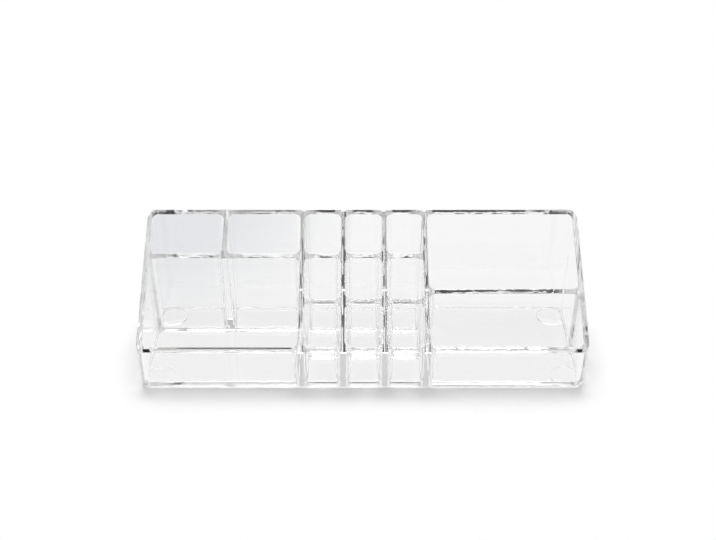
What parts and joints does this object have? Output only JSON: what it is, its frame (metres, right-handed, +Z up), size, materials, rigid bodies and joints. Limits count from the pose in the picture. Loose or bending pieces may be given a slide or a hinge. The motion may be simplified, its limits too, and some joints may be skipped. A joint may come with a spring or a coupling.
{
  "type": "vanity organizer",
  "caption": "Clear plastic vanity organizer with a sloping rim: tall bins behind a long front tray, a block of lipstick cells and wide trays at the right.",
  "frame": {"origin": "on the table, under the middle of the tray's overall box", "axes": "+X to the right along the front wall, +Y from the low front wall to the tall back wall, +Z up"},
  "size_m": [0.305, 0.095, 0.0865],
  "materials": {
    "clear_tray": "polished, water clear moulded polystyrene",
    "clear_walls": "polished, water clear moulded polystyrene",
    "clear_feet": "clear soft plastic, slightly matt"
  },
  "bodies": {
    "root": {"outer_tray": "clear_tray", "bin_cross_wall": "clear_walls", "bin_divider": "clear_walls", "lipstick_wall_1": "clear_walls", "lipstick_wall_2": "clear_walls", "lipstick_wall_3": "clear_walls", "lipstick_wall_4": "clear_walls", "lipstick_row_back": "clear_walls", "lipstick_row_front": "clear_walls", "right_divider": "clear_walls", "foot_front_left": "clear_feet", "foot_front_right": "clear_feet", "foot_back_left": "clear_feet", "foot_back_right": "clear_feet"}
  },
  "joints": []
}
